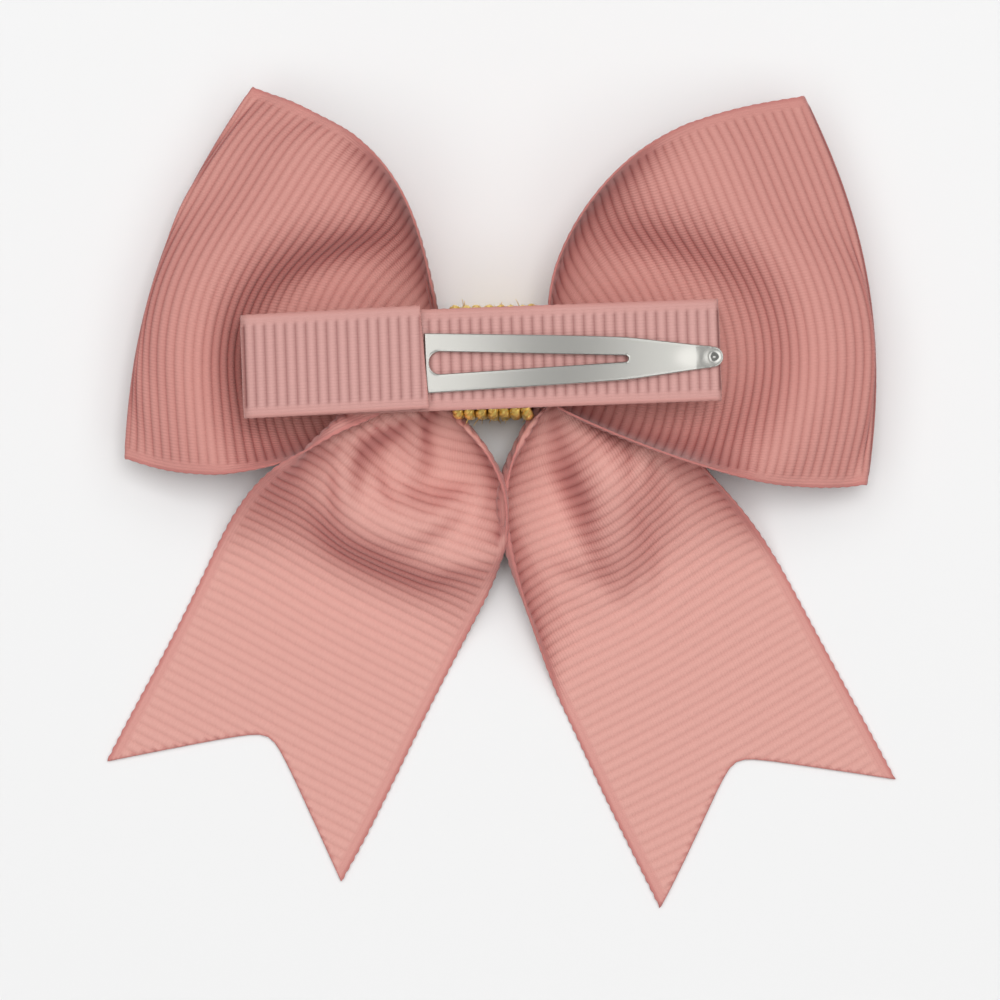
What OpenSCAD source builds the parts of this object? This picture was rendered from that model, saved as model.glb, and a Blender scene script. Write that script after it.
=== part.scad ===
// Gathered hair bow with swallow-tail ends, on a ribbon-lined steel snap clip.
// The bow lies face down: +Z is its back, where the clip is, and +Y is its top.
// The origin lies on the surface that carries the bow, below the middle of its outline.

/* [Ribbons] */
// Thickness of the grosgrain ribbon
ribbon_t = 0.36; // [0.3:0.02:0.36]
// Width of the loop ribbon
loop_w = 38.1; // [34:0.1:40]
// Width of the tail ribbon
tail_w = 25.4; // [22:0.1:28]
// Depth of the notch in each tail end
notch = 10.4; // [6:0.1:13]

/* [Loops] */
// Distance from the knot's middle line to the middle of each outer fold
loop_reach = 28.5; // [26:0.1:31]
// Lean of the left outer fold from upright, in degrees
left_lean = 19; // [10:1:24]
// Lean of the right outer fold from upright, in degrees
right_lean = -9.2; // [-16:0.2:-4]
// How far each outer fold bows out between its two corners
fold_bulge = 3; // [0:0.1:4]

/* [Knot] */
// Height of the gathered ribbons inside the knot, along Y
knot_h = 8.2; // [8:0.1:8.4]
// Height of the middle of the knot above the surface
knot_z = 5.05; // [5.05:0.05:5.2]
// Place of the middle of the knot along Y
knot_y = 13.3; // [13:0.1:13.6]
// Place of the middle of the knot along X
knot_x = -0.6; // [-0.8:0.1:-0.4]
// Diameter of the metallic cord
cord_d = 1.05; // [0.95:0.01:1.05]
// Number of turns of the metallic cord
cord_turns = 7; // [5:1:7]

/* [Clip] */
// Turn of the clip in the plane of the bow, in degrees
clip_turn = 2.1; // [0:0.1:4]
// Width of the lining ribbon
lining_w = 9.7; // [9.4:0.1:10]
// Length of the lined clip, from fold to fold
lining_l = 46; // [44:0.1:47]
// Length of the sleeve that covers the clip's base
sleeve_l = 17.6; // [16:0.1:19]
// Thickness of the spring steel
steel_t = 0.5; // [0.4:0.01:0.5]
// Length of the bare tongue, from the sleeve to its tip
tongue_l = 28.6; // [27:0.1:29]
// Width of the tongue at the sleeve
tongue_w = 5.8; // [5.2:0.1:6]

/* [Hidden] */
$fn = 48;

gap = 0.05;                       // clearance between pieces that lie on each other
half_w = loop_w / 2;
knot_left = knot_x - 4.9;         // ends of the pinched stretch along X
knot_right = knot_x + 4.9;
knot_low = knot_y - knot_h / 2;
knot_top = knot_y + knot_h / 2;
draw_in = 0.6;                    // the loop ribbon is drawn in this much more at each selvedge
end_inset = 1.5;                  // the ribbon's two ends stop this far inside the pinch
loop_low = knot_low + draw_in;
loop_top = knot_top - draw_in;
loop_pinch_t = ribbon_t * loop_w / (loop_top - loop_low);
tail_pinch_t = ribbon_t * tail_w / knot_h;

// The four layers in the knot, from the face of the bow to its back
bundle_t = 3 * loop_pinch_t + tail_pinch_t + 3 * gap;
front_z = knot_z - bundle_t / 2 + loop_pinch_t / 2;
left_end_z = front_z + loop_pinch_t + gap;
tail_z = left_end_z + loop_pinch_t / 2 + gap + tail_pinch_t / 2;
right_end_z = tail_z + tail_pinch_t / 2 + gap + loop_pinch_t / 2;

floor_z = ribbon_t / 2 + 0.08;    // middle of a ribbon that lies on the surface
left_back_z = 6.4;
right_back_z = 7.4;
tail_crest_z = 7.4;

// Steps of the ribbon grids
loop_steps = 14;
fold_steps = 6;
across = 8;
tail_steps = 26;

// Clip levels, from the bow outwards
thread_room = 0.38;               // room for the thread between the ribbons and the cord
wrap_top = knot_z + bundle_t / 2 + thread_room + cord_d;
pad_t = 0.3;
lining_z = wrap_top + gap + pad_t + gap;
frame_z = lining_z + ribbon_t + gap;
middle_z = frame_z + steel_t + gap;
tongue_z = middle_z + ribbon_t + 2 * gap;
sleeve_z = tongue_z + steel_t + 2 * gap;
root_z = frame_z + steel_t + gap;

clip_base = [-24.8, 12.75];       // middle of the fold at the clip's base
tip_reach = 0.2;                   // the tongue's tip stands this far past the lining's end
mouth = lining_l - tongue_l + tip_reach;  // place of the sleeve's mouth along the clip
rivet_d = 1.5;
rivet_pitch = 3.4;
rivet_u = 6.5;
head_d = 2.2;
head_t = 0.25;

// ---- curves ----

function bezier(p, t) = len(p) == 1 ? p[0]
    : bezier([for (i = [0:len(p) - 2]) p[i] * (1 - t) + p[i + 1] * t], t);
function smooth(t) = t <= 0 ? 0 : t >= 1 ? 1 : t * t * (3 - 2 * t);
function mix(a, b, t) = a + (b - a) * t;
function point3(p, z) = [p[0], p[1], z];

// ---- a closed solid around a grid of points, with its own thickness along the way ----

function grid_normal(g, i, j) =
    let (a = g[min(i + 1, len(g) - 1)][j] - g[max(i - 1, 0)][j],
         b = g[i][min(j + 1, len(g[0]) - 1)] - g[i][max(j - 1, 0)],
         n = cross(a, b))
    n / norm(n);

module ribbon_solid(g, t) {
    rows = len(g);
    cols = len(g[0]);
    side = rows * cols;
    points = [for (s = [0.5, -0.5], i = [0:rows - 1], j = [0:cols - 1])
        g[i][j] + grid_normal(g, i, j) * s * t[i]];
    top = [for (i = [0:rows - 2], j = [0:cols - 2])
        let (a = i * cols + j) each [[a, a + 1, a + cols + 1], [a, a + cols + 1, a + cols]]];
    bottom = [for (f = top) [f[0] + side, f[2] + side, f[1] + side]];
    rim = concat([for (j = [0:cols - 1]) j],
                 [for (i = [1:rows - 1]) i * cols + cols - 1],
                 [for (j = [cols - 2:-1:0]) (rows - 1) * cols + j],
                 [for (i = [rows - 2:-1:1]) i * cols]);
    edge = [for (k = [0:len(rim) - 1])
        let (a = rim[k], b = rim[(k + 1) % len(rim)]) each [[a, a + side, b + side], [a, b + side, b]]];
    polyhedron(points, concat(top, bottom, edge));
}

// ---- loop ribbon ----

// side is -1 for the left loop and 1 for the right one
function lean(side) = side < 0 ? left_lean : right_lean;
function fold_up(side) = [sin(lean(side)), cos(lean(side))];
function fold_out(side) = side * [cos(lean(side)), -sin(lean(side))];
// Middle of an outer fold: its shift along X from an even reach, and its place along Y
left_fold = [0.9, 20.85];
right_fold = [0.7, 20.6];
function fold_mid(side) = side < 0
    ? [left_fold[0] - loop_reach, left_fold[1]]
    : [right_fold[0] + loop_reach, right_fold[1]];
function back_z(side) = side < 0 ? left_back_z : right_back_z;
function end_z(side) = side < 0 ? left_end_z : right_end_z;

// Control points of the loops' selvedges, from the knot to the corners of the outer folds
function top_edge(side) = side < 0
    ? [[knot_left, loop_top], [-8, 26.5], [-11.5, 37.2], fold_mid(side) + half_w * fold_up(side)]
    : [[knot_right, loop_top], [5.5, 27], [12, 36.8], fold_mid(side) + half_w * fold_up(side)];
function low_edge(side) = side < 0
    ? [[knot_left, loop_low], [-11, 5.5], [-20, 1.8], fold_mid(side) - half_w * fold_up(side)]
    : [[knot_right, loop_low], [11, 7.2], [21, 1], fold_mid(side) - half_w * fold_up(side)];

function loop_plan(side, t, v) =
    mix(bezier(low_edge(side), t), bezier(top_edge(side), t), (v + 1) / 2)
    + fold_out(side) * fold_bulge * t * t * (1 - v * v);
function loop_t(side, t) =
    max(ribbon_t, min(loop_pinch_t, ribbon_t * loop_w
        / norm(bezier(top_edge(side), t) - bezier(low_edge(side), t))));
function upper_z(side, t) = mix(end_z(side), back_z(side), smooth(t / 0.75));
function lower_z(t) = mix(front_z, floor_z, smooth(t / 0.5));

function layer(side, t, z) = [for (j = [0:across]) point3(loop_plan(side, t, 2 * j / across - 1), z)];
function back_rows(side) = [for (i = [0:loop_steps]) layer(side, i / loop_steps, upper_z(side, i / loop_steps))];
function front_rows(side) = [for (i = [0:loop_steps]) layer(side, i / loop_steps, lower_z(i / loop_steps))];
function fold_rows(side) =
    let (r = (back_z(side) - floor_z) / 2)
    [for (i = [1:fold_steps - 1])
        let (a = 180 * i / fold_steps, out = fold_out(side) * r * sin(a))
        [for (p = layer(side, 1, floor_z + r * (1 + cos(a)))) p + point3(out, 0)]];
function knot_row(x, z) = [for (j = [0:across]) [x, mix(loop_low, loop_top, j / across), z]];
function back_t(side) = [for (i = [0:loop_steps]) loop_t(side, i / loop_steps)];
function reversed(a) = [for (i = [len(a) - 1:-1:0]) a[i]];

module loop_ribbon() {
    fold_t = [for (i = [1:fold_steps - 1]) ribbon_t];
    rows = concat([knot_row(knot_left + end_inset, right_end_z)], back_rows(1), fold_rows(1), reversed(front_rows(1)),
                  front_rows(-1), reversed(fold_rows(-1)), reversed(back_rows(-1)),
                  [knot_row(knot_right - end_inset, left_end_z)]);
    t = concat([loop_pinch_t], back_t(1), fold_t, reversed(back_t(1)),
               back_t(-1), fold_t, reversed(back_t(-1)), [loop_pinch_t]);
    color([0.80, 0.54, 0.52]) ribbon_solid(rows, t);
}

// ---- tail ribbon ----

// k is 0 for the left tail and 1 for the right one
tail_end = [[-27.05, -31.5], [27.1, -34.0]];   // middle of each cut end
tail_lean = [-27.2, 28];                        // degrees from straight down
tail_length = 55;                               // ribbon from the knot to the tips of a cut end
notch_round = 0.1;                              // rounding of the notch's bottom, as a share of half the width
function along(k) = [sin(tail_lean[k]), -cos(tail_lean[k])];
function beside(k) = [cos(tail_lean[k]), sin(tail_lean[k])] * tail_w / 2;
// Control points of the tails' selvedges, from the knot to the cut end
function outer_edge(k) = k == 0
    ? [[knot_left, knot_top], [-9, 8], [-22, 8.5], [-24.5, 0], [-31.2, -11.6], tail_end[0] - beside(0)]
    : [[knot_right, knot_top], [9, 7], [20, 8], [22, 0.5], [31.5, -14], tail_end[1] + beside(1)];
function inner_edge(k) = k == 0
    ? [[knot_left, knot_low], [-6, 4.5], [4, 3.5], [2, -9], [-8.7, -23], tail_end[0] + beside(0)]
    : [[knot_right, knot_low], [4.5, 5], [-3, 3.5], [1.5, -9], [8.8, -25], tail_end[1] - beside(1)];
function tail_height(k, s) = k == 0
    ? mix(mix(tail_z, tail_crest_z, smooth(s / 0.22)), floor_z, smooth((s - 0.4) / 0.6))
    : mix(mix(tail_z, 3.4, smooth(s / 0.3)), floor_z, smooth((s - 0.35) / 0.65));
function notch_share(v) = notch * (1 - sqrt(v * v + notch_round * notch_round)) / tail_length;
function tail_point(k, s, v) =
    let (e = s * (1 - notch_share(v)))
    point3(mix(bezier(inner_edge(k), e), bezier(outer_edge(k), e), (v + 1) / 2), tail_height(k, e));
function tail_rows(k) = [for (i = [0:tail_steps], s = [i / tail_steps])
    [for (j = [0:across]) tail_point(k, s, 2 * j / across - 1)]];
function tail_ts(k) = [for (i = [0:tail_steps], s = [i / tail_steps])
    max(ribbon_t, min(tail_pinch_t, ribbon_t * tail_w / norm(bezier(inner_edge(k), s) - bezier(outer_edge(k), s))))];

module tail_ribbon() {
    color([0.85, 0.62, 0.58])
        ribbon_solid(concat(reversed(tail_rows(0)), tail_rows(1)), concat(reversed(tail_ts(0)), tail_ts(1)));
}

// ---- cords wound round the knot ----

// One point on an oval of half sizes a and b, at angle w
function oval(a, b, w) =
    let (r = 1 / pow(pow(abs(cos(w)) / a, 8) + pow(abs(sin(w)) / b, 8), 1 / 8))
    [r * cos(w), r * sin(w)];

module winding(a, b, d, pitch, turns) {
    steps = 24;
    sides = 8;
    total = steps * turns;
    start = knot_x - pitch * turns / 2;
    rings = [for (i = [0:total])
        let (w = 360 * i / steps, c = oval(a, b, w), o = oval(a + 1, b + 1, w) - c, n = o / norm(o))
        [for (k = [0:sides - 1])
            let (q = 360 * k / sides, m = c + n * d / 2 * cos(q))
            [start + pitch * i / steps + d / 2 * sin(q), knot_y + m[0], knot_z + m[1]]]];
    points = [for (r = rings) each r];
    walls = [for (i = [0:total - 1], k = [0:sides - 1])
        let (a0 = i * sides + k, a1 = i * sides + (k + 1) % sides)
        each [[a0, a0 + sides, a1 + sides], [a0, a1 + sides, a1]]];
    first = [[for (k = [0:sides - 1]) k]];
    last = [[for (k = [sides - 1:-1:0]) total * sides + k]];
    polyhedron(points, concat(walls, first, last));
}

module gathering_thread() {
    thread_d = 0.16;
    thread_pitch = 0.5;
    thread_turns = 5;
    lift = thread_room - thread_d / 2 - gap / 2;
    color([0.75, 0.50, 0.48])
        winding(knot_h / 2 + lift, bundle_t / 2 + lift, thread_d, thread_pitch, thread_turns);
}

module centre_wrap() {
    color([0.83, 0.65, 0.22])
        winding(knot_h / 2 + thread_room + cord_d / 2, bundle_t / 2 + thread_room + cord_d / 2,
                cord_d, cord_d + gap, cord_turns);
}

// ---- clip; x runs along it from the fold at its base, y across it ----

module on_clip() {
    translate([clip_base[0], clip_base[1], 0]) rotate([0, 0, clip_turn]) children();
}

// A plate cut to an outline of points and given thickness
module plate(z, t) {
    translate([0, 0, z]) linear_extrude(t) children();
}

module clip_glue_pad() {
    pad_l = 8.4;
    pad_w = 8;
    r = 2.5;
    color([0.93, 0.91, 0.86]) on_clip()
        translate([knot_x - clip_base[0], 0.2, 0]) plate(wrap_top + gap, pad_t)
            union() {
                square([pad_l, pad_w - 2 * r], center = true);
                square([pad_l - 2 * r, pad_w], center = true);
                for (x = [-1, 1], y = [-1, 1])
                    translate([x * (pad_l / 2 - r), y * (pad_w / 2 - r)]) circle(r);
            }
}

lap = 0.6;                         // the lining over the frame starts this far inside the sleeve

// Half ring of ribbon in the side view, from level low to level high
module fold(x, low, high, side) {
    r = (high + ribbon_t - low) / 2;
    translate([x, low + r]) intersection() {
        difference() {
            circle(r);
            circle(r - ribbon_t);
        }
        translate([side < 0 ? -r : 0, -r]) square([r, 2 * r]);
    }
}

module clip_lining() {
    from = (sleeve_z + ribbon_t - lining_z) / 2;             // radius of the fold at the base
    to = lining_l - (middle_z + ribbon_t - lining_z) / 2;    // and of the fold at the tip
    color([0.82, 0.58, 0.57]) on_clip()
        translate([0, lining_w / 2, 0]) rotate([90, 0, 0]) linear_extrude(lining_w) union() {
            translate([from, lining_z]) square([to - from, ribbon_t]);
            fold(to, lining_z, middle_z, 1);
            translate([mouth - lap, middle_z]) square([to - mouth + lap, ribbon_t]);
            fold(from, lining_z, sleeve_z, -1);
            translate([from, sleeve_z]) square([mouth - from, ribbon_t]);
        }
}

frame_start = 2.4;
frame_end = lining_l - 1.1;
frame_base_w = 9;
frame_tip_w = 3.6;
leg_w = 1.3;

module rivet_holes() {
    for (s = [-1, 1]) translate([rivet_u, s * rivet_pitch / 2]) circle(d = rivet_d);
}

module clip_frame() {
    tip = frame_end - frame_tip_w / 2;
    plate_end = 11;
    inner_w = frame_base_w - 2 * leg_w;
    color([0.72, 0.73, 0.74]) on_clip() plate(frame_z, steel_t) difference() {
        union() {
            translate([tip, 0]) circle(d = frame_tip_w);
            polygon([[frame_start, -frame_base_w / 2], [mouth, -frame_base_w / 2], [tip, -frame_tip_w / 2],
                     [tip, frame_tip_w / 2], [mouth, frame_base_w / 2], [frame_start, frame_base_w / 2]]);
        }
        polygon([[plate_end, -inner_w / 2], [mouth, -inner_w / 2], [tip - 1, -frame_tip_w / 2 + 1],
                 [tip - 1, frame_tip_w / 2 - 1], [mouth, inner_w / 2], [plate_end, inner_w / 2]]);
        rivet_holes();
    }
}

root_w = 7.4;
joggle = 4;                        // length over which the tongue steps up over the lining

module tongue_root() {
    root_end = mouth - 0.25;
    ramp = mouth - lap - joggle;
    color([0.76, 0.77, 0.78]) on_clip() difference() {
        intersection() {
            translate([0, root_w / 2, 0]) rotate([90, 0, 0]) linear_extrude(root_w)
                polygon([[frame_start, root_z], [ramp, root_z], [mouth - lap, tongue_z], [root_end, tongue_z],
                         [root_end, tongue_z + steel_t], [mouth - lap, tongue_z + steel_t],
                         [ramp, root_z + steel_t], [frame_start, root_z + steel_t]]);
            plate(root_z - 1, 4)
                polygon([[frame_start, -root_w / 2], [ramp, -root_w / 2], [root_end, -tongue_w / 2],
                         [root_end, tongue_w / 2], [ramp, root_w / 2], [frame_start, root_w / 2]]);
        }
        plate(root_z - 1, 4) rivet_holes();
    }
}

module clip_rivets() {
    color([0.65, 0.66, 0.67]) on_clip() for (s = [-1, 1])
        translate([rivet_u, s * rivet_pitch / 2, 0]) {
            translate([0, 0, frame_z]) cylinder(d = rivet_d, h = root_z + steel_t - frame_z);
            translate([0, 0, root_z + steel_t]) cylinder(d = head_d, h = head_t);
        }
}

// The tongue's own frame starts at the sleeve's mouth and is turned a little less than the lining
tongue_turn = -0.8;
tongue_shift = -0.3;
slot_r = [1.07, 0.3];              // radius of the slot at its wide and at its narrow end
slot_x = [1.45, 19.2];
tip_r = 1;
dimple_d = 0.5;
dimple_in = 0.85;                  // middle of the dimple, back from the tongue's tip

module on_tongue() {
    on_clip() translate([mouth, tongue_shift, 0]) rotate([0, 0, tongue_turn]) children();
}

module tongue_outline() {
    tip = tongue_l - tip_r;
    w = tongue_w / 2;
    polygon([[0.05, -w], [15, -0.78 * w], [19.5, -0.7 * w], [24.6, -0.48 * w], [tip, -tip_r],
             [tip, tip_r], [24.6, 0.48 * w], [19.5, 0.72 * w], [15, 0.8 * w], [0.05, w]]);
    translate([tip, 0]) circle(tip_r);
}

module tongue_slot() {
    for (k = [0, 1]) translate([slot_x[k], 0]) circle(slot_r[k]);
    polygon([[slot_x[0], -slot_r[0]], [slot_x[1], -slot_r[1]], [slot_x[1], slot_r[1]], [slot_x[0], slot_r[0]]]);
}

module clip_tongue() {
    color([0.80, 0.81, 0.81]) on_tongue() plate(tongue_z, steel_t) difference() {
        union() tongue_outline();
        union() tongue_slot();
        translate([tongue_l - dimple_in, 0]) circle(d = dimple_d);
    }
}

module sleeve_glue() {
    glue_t = sleeve_z - root_z - steel_t - 2 * gap;
    glue_w = 6.4;
    start = rivet_u + head_d / 2 + 0.4;
    color([0.93, 0.91, 0.86]) on_clip()
        translate([start, -glue_w / 2, 0]) plate(root_z + steel_t + gap, glue_t)
            square([mouth - 5 - start, glue_w]);
}

loop_ribbon();
tail_ribbon();
gathering_thread();
centre_wrap();
clip_glue_pad();
clip_lining();
clip_frame();
tongue_root();
clip_tongue();
clip_rivets();
sleeve_glue();
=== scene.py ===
"""A gathered grosgrain hair bow, seen from the back, on a ribbon-lined steel snap clip.

Shapes are worked out in millimetres in the part's own frame and turned to metres when a mesh is made.
The loop ribbon and the tail ribbon start as rough sheets whose edges follow a drawn outline, are relaxed as cloth,
and then get their ribs. Near the knot their cloth is made narrower, in place of fine pleats. The lining is drawn.
"""
import math
import bpy
import numpy as np
from mathutils import Matrix, Vector


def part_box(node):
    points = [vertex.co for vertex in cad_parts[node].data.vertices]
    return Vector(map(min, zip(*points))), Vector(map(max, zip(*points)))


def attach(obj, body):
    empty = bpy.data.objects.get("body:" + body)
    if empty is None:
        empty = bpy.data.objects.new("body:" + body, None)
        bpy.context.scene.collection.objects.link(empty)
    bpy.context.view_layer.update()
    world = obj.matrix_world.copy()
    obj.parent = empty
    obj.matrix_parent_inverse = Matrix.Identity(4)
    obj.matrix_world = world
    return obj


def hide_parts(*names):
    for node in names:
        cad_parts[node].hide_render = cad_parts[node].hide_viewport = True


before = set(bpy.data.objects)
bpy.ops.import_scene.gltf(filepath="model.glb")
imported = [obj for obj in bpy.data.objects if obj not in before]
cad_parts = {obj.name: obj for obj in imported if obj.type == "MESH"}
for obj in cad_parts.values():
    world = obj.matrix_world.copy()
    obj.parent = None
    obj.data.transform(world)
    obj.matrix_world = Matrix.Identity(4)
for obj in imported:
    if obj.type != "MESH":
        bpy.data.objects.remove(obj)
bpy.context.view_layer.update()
MM = 0.001


# ---------------------------------------------------------------- numbers

def node_box(name):
    low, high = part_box(name)
    return np.array(low) / MM, np.array(high) / MM


CORD_D = 1.05

LOOP_W, TAIL_W, LINING_W = 38.1, 25.4, 9.7
LOOP_RIB, TAIL_RIB, LINING_RIB = 0.95, 0.98, 0.99   # distance between two ribs
FLOOR = 0.3                          # lowest place of the middle of a ribbon
KNOT_LEFT, KNOT_RIGHT = -5.5, 4.3    # where the ribbons leave the knot
KNOT_LOW, KNOT_TOP = 9.5, 17.1

CLIP_TURN = math.radians(2.1)
CLIP_BASE = np.array([-24.8, 12.75, 0.0])
CLIP_LOW, CLIP_HIGH = node_box("clip_lining")


# ---------------------------------------------------------------- curves and sheets

def smooth(t):
    t = np.clip(t, 0.0, 1.0)
    return t * t * (3 - 2 * t)


def mix(a, b, t):
    return a + (b - a) * t


def bezier(points, t):
    """Points of a Bezier curve at the values t."""
    p = np.asarray(points, float)
    n = len(p) - 1
    t = np.asarray(t)[:, None]
    return sum(math.comb(n, i) * (1 - t) ** (n - i) * t ** i * p[i] for i in range(n + 1))


def evenly(points, share):
    """Points of a Bezier curve at shares of its length."""
    fine = bezier(points, np.linspace(0, 1, 400))
    run = np.r_[0, np.cumsum(np.linalg.norm(np.diff(fine, axis=0), axis=1))]
    at = np.asarray(share) * run[-1]
    return np.stack([np.interp(at, run, fine[:, k]) for k in range(fine.shape[1])], axis=1)


def spline_weights(x, n):
    """Cubic B-spline weights at the positions x of a row of n points, and the first point each uses."""
    x = np.clip(x, 0, n - 1)
    i = np.minimum(x.astype(int), n - 2)
    f = x - i
    w = np.stack([(1 - f) ** 3, 3 * f ** 3 - 6 * f ** 2 + 4, -3 * f ** 3 + 3 * f ** 2 + 3 * f + 1, f ** 3], axis=-1)
    return i, w / 6


class Sheet:
    """A smooth surface through a grid of points; u runs along the ribbon and v across it, in mm."""

    def __init__(self, grid, length, width):
        g = np.concatenate([2 * grid[:1] - grid[1:2], grid, 2 * grid[-1:] - grid[-2:-1]], axis=0)
        g = np.concatenate([2 * g[:, :1] - g[:, 1:2], g, 2 * g[:, -1:] - g[:, -2:-1]], axis=1)
        self.grid, self.length, self.width = g, length, width
        self.rows, self.cols = grid.shape[:2]

    def point(self, u, v):
        i, wi = spline_weights(u / self.length * (self.rows - 1), self.rows)
        j, wj = spline_weights((v / self.width + 0.5) * (self.cols - 1), self.cols)
        return sum((wi[..., a] * wj[..., b])[..., None] * self.grid[i + a, j + b]
                   for a in range(4) for b in range(4))

    def normal(self, u, v, step=0.12):
        along = self.point(u + step, v) - self.point(u - step, v)
        across = self.point(u, v + step) - self.point(u, v - step)
        n = np.cross(along, across)
        return n / np.maximum(np.linalg.norm(n, axis=-1, keepdims=True), 1e-9)


# ---------------------------------------------------------------- cloth

def chains(n, step):
    """Two sets of indices whose pairs i, i + step share no point."""
    i = np.arange(n - step)
    return [i[(i // step) % 2 == k] for k in (0, 1)]


def draw(p, a, b, rest, k, only_push=False):
    """Moves the pairs a and b towards their rest distance."""
    d = p[b] - p[a]
    n = np.maximum(np.linalg.norm(d, axis=-1, keepdims=True), 1e-6)
    c = 1 - rest / n
    if only_push:
        c = np.minimum(c, 0)
    c = 0.5 * k * c * d
    p[a] += c
    p[b] -= c


def relax(p, du, dv, goals, steps, limits=None, bend_u=0.3, bend_v=0.35, crease=-1000):
    """Relaxes a grid as cloth of rest spacing du and dv that may fold sharply at the row crease.

    goals are (rows, cols, place, weight).
    """
    rows, cols = p.shape[:2]
    dv = np.broadcast_to(dv, (rows,))[:, None, None]
    slant = np.sqrt(du * du + ((dv[:-1] + dv[1:]) / 2) ** 2)
    row_sets = {s: chains(rows, s) for s in (1, 3, 6, 12)}
    for s in (3, 6, 12):
        row_sets[s] = [r[(r + s < crease - 2) | (r > crease + 2)] for r in row_sets[s]]
    col_sets = {s: chains(cols, s) for s in (1, 3, 6, 12)}
    for k in range(steps):
        for s, stiff in ((12, bend_u * 0.15), (6, bend_u), (3, bend_u), (1, 1.0)):
            for r in row_sets[s]:
                draw(p, r, r + s, du * s, stiff, s > 1)
        for s, stiff in ((12, bend_v * 0.3), (6, bend_v), (3, bend_v), (1, 1.0)):
            for c in col_sets[s]:
                draw(p, np.s_[:, c], np.s_[:, c + s], dv * s, stiff, s > 1)
        for r in row_sets[1]:
            for c in col_sets[1]:
                a, b = np.ix_(r, c), np.ix_(r + 1, c + 1)
                draw(p, a, b, slant[r], 0.6)
                a, b = np.ix_(r, c + 1), np.ix_(r + 1, c)
                draw(p, a, b, slant[r], 0.6)
        for r, c, place, weight in goals:
            p[r, c] += (place - p[r, c]) * weight
        if limits is not None:
            limits(p, k)
        np.maximum(p[..., 2], FLOOR, out=p[..., 2])
    return p


def ironed(p, calm, times):
    """Takes the finest wrinkles out of a relaxed grid, and only those along its rows where calm is 0."""
    for _ in range(times):
        q, r = p.copy(), p.copy()
        q[1:-1, 1:-1] = 0.5 * p[1:-1, 1:-1] + 0.125 * (p[2:, 1:-1] + p[:-2, 1:-1] + p[1:-1, 2:] + p[1:-1, :-2])
        r[2:-2, 1:-1] = 0.5 * p[2:-2, 1:-1] + 0.25 * (p[2:-2, 2:] + p[2:-2, :-2])
        p = mix(r, q, calm)
    return p


class Field:
    """Heights of a layer over a square grid, empty where the layer is not."""

    def __init__(self, points, top, cell=0.5):
        self.cell = cell
        self.low = points[..., :2].reshape(-1, 2).min(0) - 2
        size = np.ceil((points[..., :2].reshape(-1, 2).max(0) + 2 - self.low) / self.cell).astype(int) + 1
        fill = -1e3 if top else 1e3
        h = np.full(size, fill)
        at = ((points[..., :2].reshape(-1, 2) - self.low) / self.cell).astype(int)
        (np.maximum if top else np.minimum).at(h, (at[:, 0], at[:, 1]), points[..., 2].ravel())
        self.h, self.fill = h, fill

    def at(self, p):
        i = np.clip(((p[..., :2] - self.low) / self.cell).astype(int), 0, np.array(self.h.shape) - 1)
        return self.h[i[..., 0], i[..., 1]]


FOLD_ANGLES = np.linspace(0, 1.5, 60)
ONE_WAVE = np.sin(np.linspace(0, 2 * np.pi, 80, endpoint=False))
FOLD_WIDTHS = np.array([np.mean(np.cos(a * ONE_WAVE)) for a in FOLD_ANGLES])


def pleat(width_share, v, waves):
    """An accordion profile that is width_share as wide as the flat cloth: places across (0 to 1) and heights."""
    angle = np.interp(-width_share, -FOLD_WIDTHS, FOLD_ANGLES)
    slope = -angle * np.sin(np.pi * waves * (v + 1))
    step = np.gradient(v)
    y = np.cumsum(np.cos(slope) * step)
    z = np.cumsum(np.sin(slope) * step)
    y = (y - y[0]) / (y[-1] - y[0])
    return y, z - z.mean()


# ---------------------------------------------------------------- knot and loops

STEP = 0.75                          # spacing of the relaxed grids
STEPS = 700
LOOP_HALF = {-1: 33.6, 1: 35.8}     # ribbon from the knot to the outer fold, left and right
HIGH_Z, EDGE_Z, FACE_Z = 9.0, 4.8, 0.6   # back layer where it is puffed, the outer fold, the face layer
LOW_Z = {-1: 4.3, 1: 4.9}            # back layer under the clip
FOLD_R = 0.95                        # half thickness of the outer fold
HOLLOW = {-1: ((-14.0, 13.0), (13.0, 12.5)), 1: ((12.0, 15.0), (16.5, 11.5))}   # middle and half sizes
FRONT_Z, LEFT_Z, TAIL_Z, RIGHT_Z = 2.46, 4.47, 6.06, 7.64   # levels of the four layers in the knot
KNOT_X = {-1: KNOT_LEFT, 1: KNOT_RIGHT}


def loop_plan(side):
    """Outline of a loop seen from above: low edge, top edge and outward direction of its outer fold."""
    if side < 0:
        low = [(KNOT_LEFT, KNOT_LOW), (-16.3, 5.4), (-26.7, -0.2), (-36.6, 4.1)]
        top = [(KNOT_LEFT, KNOT_TOP), (-8.3, 23.8), (-6.2, 33.0), (-18.0, 38.3), (-24.2, 40.1)]
    else:
        low = [(KNOT_RIGHT, KNOT_LOW), (10.2, 6.6), (25.8, -0.4), (35.7, 1.5)]
        top = [(KNOT_RIGHT, KNOT_TOP), (4.6, 25.2), (10.7, 33.4), (16.9, 37.5), (29.6, 39.2)]
    low, top = np.array(low), np.array(top)
    chord = top[-1] - low[-1]
    out = np.array([chord[1], -chord[0]]) / np.linalg.norm(chord) * side
    return low, top, out


def packed(room, width):
    """Share of a ribbon's width that is not lost in fine pleats where only this much room is left for it."""
    return np.minimum(room / (0.6 * width), 1.0)


def knot_row(x, level, low, top, v, height=0.7):
    y = mix(low, top, (v + 1) / 2)
    return np.stack([np.full_like(v, x), y, level + height * np.cos(2 * np.pi * v)], axis=-1)


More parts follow.
